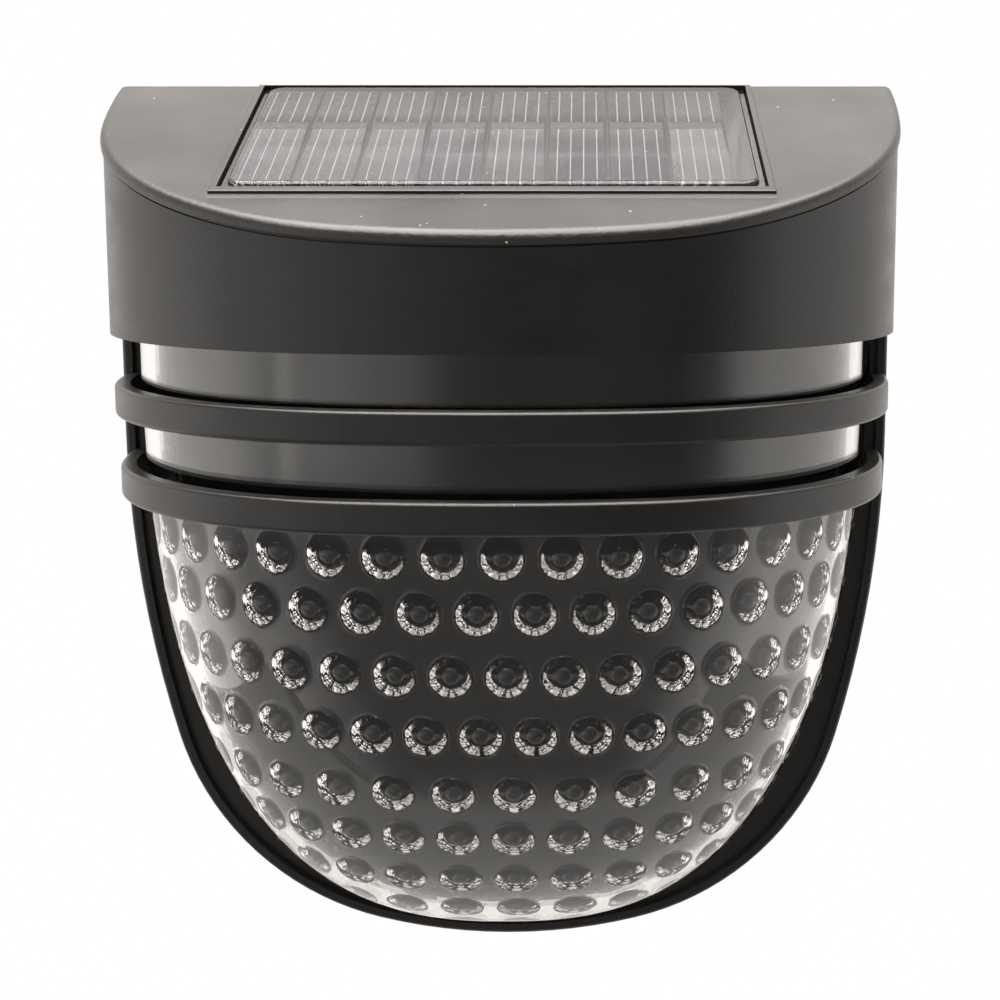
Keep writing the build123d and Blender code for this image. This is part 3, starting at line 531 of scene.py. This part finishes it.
def moulded(name, colour, roughness=0.33, grain_scale=2600.0, depth=0.05, dusty=0.5, level=0.5):
    """Moulded plastic: grain in the bump, gloss that drifts and is rubbed, and settled dust.

    depth is the grain's depth in mm, dusty the amount of dust, and level the specular level."""
    made, tree, shader, place = new_material(name)
    surface = use_group(tree, grain, {"Vector": place, "Scale": grain_scale})
    rubbed = use_group(tree, handling, {"Vector": place})["Rubbed"]
    settled = use_group(tree, dust, {"Vector": place, "Amount": dusty})
    lighter = rgb(*(min(1.0, c * 1.35 + 0.004) for c in colour))
    base = tint(tree, surface["Drift"], rgb(*colour), lighter)
    base = tint(tree, maths(tree, "MULTIPLY", settled["Film"], 0.12), base, rgb(0.5, 0.47, 0.43))
    base = tint(tree, maths(tree, "MULTIPLY", settled["Flecks"], 0.85), base, rgb(0.8, 0.78, 0.74))
    tree.links.new(base, shader.inputs["Base Color"])
    gloss = maths(tree, "MULTIPLY_ADD", surface["Drift"], 0.08, roughness - 0.04)
    gloss = maths(tree, "SUBTRACT", gloss, maths(tree, "MULTIPLY", rubbed, 0.07))
    gloss = maths(tree, "ADD", gloss, maths(tree, "MULTIPLY", settled["Film"], 0.15), clamp=True)
    tree.links.new(gloss, shader.inputs["Roughness"])
    shader.inputs["Specular IOR Level"].default_value = level
    set_bump(tree, shader, surface["Height"], 0.4, depth * mm)
    return made


def back_plastic():
    """Back cover: moulded outside with its grain and handling; inside, fully rough, with painted shade
    that makes it nearly black.

    The change from one to the other lies just in front of the outer skin, measured along Y."""
    skin_y = -0.6 * mm
    painted_shade_full_y = -1.2 * mm
    made = moulded("black_abs_back", (0.01, 0.0096, 0.0092), roughness=0.45, depth=0.06,
                   dusty=0.15, level=0.2)
    tree = made.node_tree
    shader = next(n for n in tree.nodes if n.type == "BSDF_PRINCIPLED")
    place = tree.nodes.new("ShaderNodeTexCoord").outputs["Object"]
    axes = node(tree, "ShaderNodeSeparateXYZ", {0: place})
    # mask of the painted shade: 0 at the outer skin, 1 further inside the cover
    inside = spread(tree, axes.outputs[1], skin_y, painted_shade_full_y)
    finish = shader.inputs["Base Color"].links[0].from_socket
    gloss = shader.inputs["Roughness"].links[0].from_socket
    # painted shade: inside the cover the base colour is darkened to nearly black, standing in for the
    # shade inside the closed housing
    tree.links.new(tint(tree, inside, finish, rgb(0.002, 0.002, 0.002)), shader.inputs["Base Color"])
    tree.links.new(blend(tree, inside, gloss, 1.0), shader.inputs["Roughness"])
    return made


def metal(name, colour, roughness, brush=(1.0, 1.0, 1.0), tarnish=0.3):
    """Metal: fine drawn lines along one direction, and dull patches of tarnish."""
    made, tree, shader, place = new_material(name)
    drawn = node(tree, "ShaderNodeMapping", {"Vector": place, "Scale": brush})
    line = node(tree, "ShaderNodeTexNoise", {"Vector": drawn.outputs[0], "Scale": 900.0, "Detail": 3.0})
    patch = node(tree, "ShaderNodeTexNoise", {"Vector": place, "Scale": 350.0, "Detail": 4.0})
    dull = maths(tree, "MULTIPLY", spread(tree, patch.outputs[0], 0.4, 0.7), tarnish)
    base = tint(tree, dull, rgb(*colour), rgb(*(c * 0.45 for c in colour)))
    tree.links.new(base, shader.inputs["Base Color"])
    shader.inputs["Metallic"].default_value = 1.0
    uneven = spread(tree, line.outputs[0], 0.3, 0.7, roughness - 0.06, roughness + 0.08)
    rough = maths(tree, "ADD", uneven, maths(tree, "MULTIPLY", dull, 0.3))
    tree.links.new(rough, shader.inputs["Roughness"])
    set_bump(tree, shader, line.outputs[0], 0.15, 0.01 * mm)
    return made


def clear_plastic(name, ior, roughness, dusty, scratched):
    """Clear plastic or resin: smudges, dust and hair scratches in the gloss, and hardly any shadow."""
    made, tree, shader, place = new_material(name)
    shader.inputs["Transmission Weight"].default_value = 1.0
    shader.inputs["IOR"].default_value = ior
    smudge = use_group(tree, handling, {"Vector": place, "Scale": 70.0})["Rubbed"]
    settled = use_group(tree, dust, {"Vector": place, "Scale": 1300.0, "Amount": dusty})
    marks = use_group(tree, scratches, {"Vector": place})["Scratch"]
    haze = maths(tree, "MULTIPLY", smudge, roughness)
    haze = maths(tree, "ADD", haze, maths(tree, "MULTIPLY", settled["Flecks"], 0.5))
    haze = maths(tree, "ADD", haze, maths(tree, "MULTIPLY", marks, scratched), clamp=True)
    tree.links.new(haze, shader.inputs["Roughness"])
    base = tint(tree, settled["Flecks"], rgb(0.985, 0.985, 0.98), rgb(0.9, 0.9, 0.88))
    tree.links.new(base, shader.inputs["Base Color"])
    through = tree.nodes.new("ShaderNodeBsdfTransparent")
    through.inputs[0].default_value = rgb(0.9, 0.9, 0.9)
    light_path = tree.nodes.new("ShaderNodeLightPath").outputs
    mix = node(tree, "ShaderNodeMixShader", {0: light_path["Is Shadow Ray"], 1: shader.outputs[0],
                                             2: through.outputs[0]})
    output = next(n for n in tree.nodes if n.type == "OUTPUT_MATERIAL")
    tree.links.new(mix.outputs[0], output.inputs["Surface"])
    return made


def silicon():
    """Cell face: blue-black with a faint crystal grain and a slow violet drift."""
    made, tree, shader, place = new_material("silicon")
    crystal = node(tree, "ShaderNodeTexVoronoi", {"Vector": place, "Scale": 700.0})
    tone = node(tree, "ShaderNodeSeparateColor", {0: crystal.outputs["Color"]})
    drift = node(tree, "ShaderNodeTexNoise", {"Vector": place, "Scale": 55.0, "Detail": 3.0})
    base = tint(tree, maths(tree, "MULTIPLY", tone.outputs[0], 0.5), rgb(0.012, 0.016, 0.03),
                rgb(0.026, 0.031, 0.055))
    base = tint(tree, spread(tree, drift.outputs[0], 0.4, 0.65), base, rgb(0.03, 0.024, 0.04))
    tree.links.new(base, shader.inputs["Base Color"])
    shader.inputs["Specular IOR Level"].default_value = 0.05
    tree.links.new(spread(tree, tone.outputs[1], 0.0, 1.0, 0.24, 0.36), shader.inputs["Roughness"])
    set_bump(tree, shader, tone.outputs[0], 0.1, 0.01 * mm)
    return made


def printed_silver():
    """Printed silver paste of the lines on the cells: matt, pale and a little uneven."""
    made, tree, shader, place = new_material("printed_silver")
    paste = node(tree, "ShaderNodeTexNoise", {"Vector": place, "Scale": 1600.0, "Detail": 3.0})
    base = tint(tree, spread(tree, paste.outputs[0], 0.3, 0.6), rgb(0.36, 0.355, 0.345),
                rgb(0.56, 0.55, 0.54))
    tree.links.new(base, shader.inputs["Base Color"])
    tree.links.new(spread(tree, paste.outputs[0], 0.3, 0.7, 0.4, 0.6), shader.inputs["Roughness"])
    set_bump(tree, shader, paste.outputs[0], 0.3, 0.01 * mm)
    return made


def panel_face():
    """Backing board of the panel: brown-grey solder lacquer with a faint glass weave."""
    made, tree, shader, place = new_material("panel_board")
    weave = node(tree, "ShaderNodeTexWave", {"Vector": place, "Scale": 450.0, "Distortion": 1.5},
                 bands_direction="X")
    cross = node(tree, "ShaderNodeTexWave", {"Vector": place, "Scale": 450.0, "Distortion": 1.5},
                 bands_direction="Y")
    threads = maths(tree, "MULTIPLY", weave.outputs[1], cross.outputs[1])
    base = tint(tree, threads, rgb(0.03, 0.024, 0.018), rgb(0.045, 0.036, 0.028))
    tree.links.new(base, shader.inputs["Base Color"])
    shader.inputs["Specular IOR Level"].default_value = 0.1
    tree.links.new(spread(tree, threads, 0.0, 1.0, 0.35, 0.5), shader.inputs["Roughness"])
    set_bump(tree, shader, threads, 0.2, 0.02 * mm)
    return made


def lamp_face():
    """White lamp board: lacquer over raised tracks cut by narrow gaps, with yellowed patches."""
    half_gap_pitch = 4.5 * mm
    made, tree, shader, place = new_material("lamp_board")
    axes = node(tree, "ShaderNodeSeparateXYZ", {0: place})
    wobble = node(tree, "ShaderNodeTexNoise", {"Vector": place, "Scale": 200.0})
    track = node(tree, "ShaderNodeTexWave", {"Vector": place, "Scale": 130.0}, bands_direction="Y")
    raised = spread(tree, track.outputs[1], 0.45, 0.6)
    from_gap = maths(tree, "PINGPONG", maths(tree, "ADD", axes.outputs[0], 0.1), half_gap_pitch)
    raised = maths(tree, "MULTIPLY", raised, spread(tree, from_gap, 0.2 * mm, 0.5 * mm))
    base = tint(tree, raised, rgb(0.72, 0.72, 0.69), rgb(0.80, 0.79, 0.74))
    base = tint(tree, spread(tree, wobble.outputs[0], 0.6, 0.8), base, rgb(0.66, 0.64, 0.58))
    tree.links.new(base, shader.inputs["Base Color"])
    tree.links.new(spread(tree, wobble.outputs[0], 0.3, 0.7, 0.28, 0.42), shader.inputs["Roughness"])
    set_bump(tree, shader, raised, 0.5, 0.04 * mm)
    return made


def porous(name, colour, scale, roughness, depth):
    """Rubber, foam or ferrite: fine pores, and a powdery drift in the colour."""
    made, tree, shader, place = new_material(name)
    pores = node(tree, "ShaderNodeTexVoronoi", {"Vector": place, "Scale": scale})
    drift = node(tree, "ShaderNodeTexNoise", {"Vector": place, "Scale": 120.0, "Detail": 4.0})
    pore = spread(tree, pores.outputs["Distance"], 0.1, 0.45)
    base = tint(tree, spread(tree, drift.outputs[0], 0.35, 0.7), rgb(*colour),
                rgb(*(c * 1.5 + 0.01 for c in colour)))
    base = tint(tree, maths(tree, "MULTIPLY", pore, 0.3), base, rgb(*(c * 0.4 for c in colour)))
    tree.links.new(base, shader.inputs["Base Color"])
    tree.links.new(spread(tree, drift.outputs[0], 0.3, 0.7, roughness - 0.05, roughness + 0.05),
                   shader.inputs["Roughness"])
    set_bump(tree, shader, pore, 0.4, depth * mm)
    return made


def battery_sleeve():
    """Battery's shrink sleeve: green with a pale band at one end, and fine shrink wrinkles."""
    band_edge_x = -22.0 * mm
    made, tree, shader, place = new_material("cell_sleeve")
    axes = node(tree, "ShaderNodeSeparateXYZ", {0: place})
    band = maths(tree, "LESS_THAN", axes.outputs[0], band_edge_x)
    wrinkle = node(tree, "ShaderNodeTexNoise", {"Vector": place, "Scale": 260.0, "Detail": 3.0,
                                                "Distortion": 1.0})
    base = tint(tree, band, rgb(0.03, 0.22, 0.09), rgb(0.55, 0.56, 0.52))
    base = tint(tree, spread(tree, wrinkle.outputs[0], 0.5, 0.8, 0.0, 0.3), base, rgb(0.02, 0.12, 0.05))
    tree.links.new(base, shader.inputs["Base Color"])
    tree.links.new(spread(tree, wrinkle.outputs[0], 0.3, 0.7, 0.18, 0.32), shader.inputs["Roughness"])
    set_bump(tree, shader, wrinkle.outputs[0], 0.25, 0.05 * mm)
    return made


def lamp_phosphor():
    """Lamp window: yellow phosphor grit in clear silicone."""
    made, tree, shader, place = new_material("led_phosphor")
    grit = node(tree, "ShaderNodeTexNoise", {"Vector": place, "Scale": 3000.0, "Detail": 2.0})
    base = tint(tree, spread(tree, grit.outputs[0], 0.35, 0.65), rgb(0.72, 0.55, 0.08),
                rgb(0.85, 0.72, 0.2))
    tree.links.new(base, shader.inputs["Base Color"])
    tree.links.new(spread(tree, grit.outputs[0], 0.3, 0.7, 0.12, 0.25), shader.inputs["Roughness"])
    shader.inputs["Coat Weight"].default_value = 0.6
    set_bump(tree, shader, grit.outputs[0], 0.1, 0.01 * mm)
    return made


def all_materials():
    """Material for each of the record's slots."""
    return {
        "black_abs": moulded("black_abs", (0.0065, 0.006, 0.0055), level=0.42),
        "black_abs_cover": moulded("black_abs_cover", (0.014, 0.0132, 0.0124), grain_scale=2000.0,
                                   depth=0.11, dusty=0.8),
        "black_abs_back": back_plastic(),
        "tray_abs": moulded("tray_abs", (0.006, 0.0058, 0.0055), roughness=0.6, dusty=0.2, level=0.1),
        "holder_plastic": moulded("holder_plastic", (0.03, 0.03, 0.032), roughness=0.38, dusty=0.2),
        "switch_knob": moulded("switch_knob", (0.012, 0.012, 0.012), roughness=0.35, dusty=0.2),
        "led_white": moulded("led_white", (0.72, 0.72, 0.70), roughness=0.35, dusty=0.0),
        "chip_black": moulded("chip_black", (0.02, 0.02, 0.021), roughness=0.5, dusty=0.1),
        "wire_red": moulded("wire_red", (0.42, 0.018, 0.014), roughness=0.35, dusty=0.2),
        "wire_black": moulded("wire_black", (0.015, 0.015, 0.016), roughness=0.35, dusty=0.2),
        "foam_tape": porous("foam_tape", (0.30, 0.29, 0.27), scale=1800.0, roughness=0.9, depth=0.08),
        "seal_rubber": porous("seal_rubber", (0.03, 0.03, 0.03), scale=2600.0, roughness=0.75,
                              depth=0.03),
        "ferrite": porous("ferrite", (0.045, 0.043, 0.042), scale=3000.0, roughness=0.55, depth=0.02),
        "panel_board": panel_face(),
        "silicon": silicon(),
        "lamp_board": lamp_face(),
        "cell_sleeve": battery_sleeve(),
        "led_phosphor": lamp_phosphor(),
        "clear_resin": clear_plastic("clear_resin", ior=1.4, roughness=0.06, dusty=1.8, scratched=0.1),
        "clear_lens": clear_plastic("clear_lens", ior=1.49, roughness=0.04, dusty=0.25, scratched=0.08),
        "tinned_ribbon": metal("tinned_ribbon", (0.10, 0.09, 0.08), roughness=0.5,
                               brush=(1.0, 12.0, 1.0), tarnish=0.5),
        "switch_metal": metal("switch_metal", (0.66, 0.65, 0.62), roughness=0.32, brush=(1.0, 1.0, 10.0)),
        "tinned_pins": metal("tinned_pins", (0.70, 0.69, 0.66), roughness=0.28),
        "cell_steel": metal("cell_steel", (0.68, 0.67, 0.65), roughness=0.22, brush=(1.0, 8.0, 8.0)),
        "spring_steel": metal("spring_steel", (0.62, 0.61, 0.60), roughness=0.26, brush=(1.0, 1.0, 9.0)),
        "screw_steel": metal("screw_steel", (0.56, 0.55, 0.54), roughness=0.30),
    }


def dress(materials):
    """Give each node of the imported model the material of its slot."""
    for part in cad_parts.values():
        for holder in part.material_slots:
            name = holder.material.name.split(".")[0]
            if name in materials:
                holder.material = materials[name]


# ---- camera, light and stage -----------------------------------------------------------------
def make_camera():
    """Camera close in front of the light and a little to its right, looking slightly down.

    Its place, turn, lens and shift are those of the camera model that fits the photograph."""
    place = (10.53 * mm, -256.6 * mm, 0.66 * mm)
    pitch_down = 8.97
    yaw_right = 0.05
    data = bpy.data.cameras.new("camera")
    data.sensor_width = 36.0
    data.lens = 69.66
    data.shift_x = -0.088
    data.shift_y = -0.016
    data.clip_start = 0.01
    camera = bpy.data.objects.new("camera", data)
    camera.location = place
    camera.rotation_euler = (radians(90 - pitch_down), 0, radians(-yaw_right))
    bpy.context.scene.collection.objects.link(camera)
    bpy.context.scene.camera = camera


def make_softbox(name, place, aim, width, depth, radiance):
    """Rectangular lamp that faces a point, with the given brightness of its face."""
    data = bpy.data.lights.new(name, "AREA")
    data.shape = "RECTANGLE"
    data.size = width
    data.size_y = depth
    data.energy = radiance * width * depth * pi
    lamp = bpy.data.objects.new(name, data)
    lamp.location = place
    lamp.rotation_euler = (Vector(aim) - Vector(place)).to_track_quat("-Z", "Y").to_euler()
    bpy.context.scene.collection.objects.link(lamp)


def ramp(tree, place, stops):
    """Output of a colour ramp through (place, brightness) stops.

    A ramp's colours end at 1, so brightness is divided by brightest and multiplied back after it."""
    brightest = 4.0
    made = node(tree, "ShaderNodeValToRGB", {0: place})
    line = made.color_ramp.elements
    while len(line) < len(stops):
        line.new(1.0)
    for element, (spot, value) in zip(line, stops):
        element.position = spot
        element.color = rgb(value / brightest, value / brightest, value / brightest)
    return maths(tree, "MULTIPLY", made.outputs[0], brightest)


def room_walls(tree, x, z, half_turn):
    """Brightness of the room round the light, at its level and lower down.

    Each ramp goes from the front at 0 to the back at 1. Straight below, the room is plain."""
    left = ramp(tree, half_turn, ((0.0, 0.25), (0.02, 0.8), (0.1, 1.2), (0.17, 1.3), (0.21, 2.0),
                                  (0.25, 1.2), (0.34, 1.6), (0.42, 1.9), (0.6, 1.6), (0.75, 1.2),
                                  (1.0, 1.0)))
    right = ramp(tree, half_turn, ((0.0, 0.25), (0.12, 0.2), (0.21, 0.4), (0.31, 1.2), (0.4, 1.5),
                                   (0.6, 1.3), (0.8, 1.0), (1.0, 1.0)))
    left_low = ramp(tree, half_turn, ((0.0, 0.38), (0.32, 0.4), (0.43, 0.55), (0.5, 1.1), (0.58, 2.1),
                                      (0.7, 1.8), (1.0, 1.0)))
    right_low = ramp(tree, half_turn, ((0.0, 0.38), (0.18, 0.38), (0.32, 0.9), (0.45, 1.9), (0.6, 1.5),
                                       (1.0, 1.0)))
    side = spread(tree, x, -0.03, 0.03)
    walls = blend(tree, side, left, right)
    low_walls = blend(tree, side, left_low, right_low)
    walls = blend(tree, soft_step(tree, z, -0.18, -0.36), walls, low_walls)
    return blend(tree, soft_step(tree, z, -0.8, -0.985), walls, 1.0)


def make_world():
    """Room round the light, as gloss, clear plastic, matt surfaces and the camera see it.

    Gloss sees a dark front, two bright sides, a pale wall behind and above, and a wide lamp overhead.
    A ray that leaves clear plastic sees no lamp, and a brighter room low down at the sides and back.
    Matt surfaces see the room without its lamp and no brighter than matt_limit. The camera sees white.
    x, y and z are the ray's direction, and half_turn goes from 0 in front to 1 at the back."""
    matt_limit = 1.0
    lamp_radiance = 10.0
    below_radiance = 2.2
    warm = rgb(1.0, 0.955, 0.915)
    world = bpy.data.worlds.new("studio")
    bpy.context.scene.world = world
    world.use_nodes = True
    tree = world.node_tree
    tree.nodes.clear()
    direction = tree.nodes.new("ShaderNodeTexCoord").outputs["Generated"]
    x, y, z = node(tree, "ShaderNodeSeparateXYZ", {0: direction}).outputs

    # length of the direction as seen from above, a little over its true value so that it is never 0
    flat_length = maths(tree, "SUBTRACT", 1.0001, maths(tree, "MULTIPLY", z, z))
    flat_length = maths(tree, "SQRT", flat_length)
    half_turn = maths(tree, "MULTIPLY_ADD", maths(tree, "DIVIDE", y, flat_length), 0.5, 0.5)

    # walls, and above them a pale ceiling that is brighter towards the back and overhead
    sky = spread(tree, y, -0.2, 0.5, 0.5, 1.15)
    sky = maths(tree, "ADD", sky, spread(tree, z, 0.59, 0.68, 0.0, 0.8))
    walls = room_walls(tree, x, z, half_turn)
    room = blend(tree, soft_step(tree, z, 0.05, 0.45), walls, sky)

    # wide lamp overhead, which only gloss sees
    lamp = soft_step(tree, maths(tree, "ABSOLUTE", x), 0.7, 0.4)
    lamp = maths(tree, "MULTIPLY", lamp, soft_step(tree, z, 0.5, 0.68))
    lamp = maths(tree, "MULTIPLY", lamp, soft_step(tree, y, 0.46, 0.3))
    gloss_room = maths(tree, "ADD", room, maths(tree, "MULTIPLY", lamp, lamp_radiance))

    # what matt surfaces see, and what a ray that leaves clear plastic sees
    matt_room = maths(tree, "MINIMUM", room, matt_limit)
    below = soft_step(tree, z, -0.2, -0.5)
    below = maths(tree, "MULTIPLY", below, soft_step(tree, half_turn, 0.05, 0.38))
    through_room = blend(tree, below, room, maths(tree, "MAXIMUM", room, below_radiance))

    light_path = tree.nodes.new("ShaderNodeLightPath").outputs
    shown = node(tree, "ShaderNodeBackground", {"Color": warm, "Strength": matt_room}).outputs[0]
    for ray, colour, strength in (("Is Glossy Ray", warm, gloss_room),
                                  ("Is Transmission Ray", warm, through_room),
                                  ("Is Camera Ray", rgb(1, 1, 1), 1.0)):
        seen = node(tree, "ShaderNodeBackground", {"Color": colour, "Strength": strength}).outputs[0]
        shown = node(tree, "ShaderNodeMixShader", {0: light_path[ray], 1: shown, 2: seen}).outputs[0]
    output = tree.nodes.new("ShaderNodeOutputWorld")
    tree.links.new(shown, output.inputs["Surface"])


def make_floor():
    """Plain pale floor well below the light; to the camera it is as white as the room."""
    half = 1.6
    front = -0.45
    level = -1.0
    points = [(-half, front, level), (half, front, level), (half, half, level), (-half, half, level)]
    mesh = bpy.data.meshes.new("floor")
    mesh.from_pydata(points, [], [(0, 1, 2, 3)])
    made, tree, shader, place = new_material("floor_paper")
    speckle = node(tree, "ShaderNodeTexNoise", {"Vector": place, "Scale": 300.0, "Detail": 3.0})
    base = tint(tree, speckle.outputs[0], rgb(0.86, 0.86, 0.85), rgb(0.90, 0.90, 0.89))
    tree.links.new(base, shader.inputs["Base Color"])
    shader.inputs["Roughness"].default_value = 0.9
    glow = node(tree, "ShaderNodeEmission", {"Color": rgb(1, 1, 1), "Strength": 1.0})
    light_path = tree.nodes.new("ShaderNodeLightPath").outputs
    mix = node(tree, "ShaderNodeMixShader", {0: light_path["Is Camera Ray"], 1: shader.outputs[0],
                                             2: glow.outputs[0]})
    output = next(n for n in tree.nodes if n.type == "OUTPUT_MATERIAL")
    tree.links.new(mix.outputs[0], output.inputs["Surface"])
    mesh.materials.append(made)
    floor = bpy.data.objects.new("floor", mesh)
    bpy.context.scene.collection.objects.link(floor)


materials = all_materials()
dress(materials)
make_lens_flange(materials["clear_lens"])
make_lens(materials["clear_lens"])
make_cell_fingers(printed_silver())
make_camera()
make_softbox("overhead_softbox", place=(-0.12, -0.16, 0.62), aim=(0, -0.03, -0.02), width=0.5,
             depth=0.4, radiance=3.4)
make_world()
make_floor()
bpy.context.scene.view_settings.view_transform = "Standard"
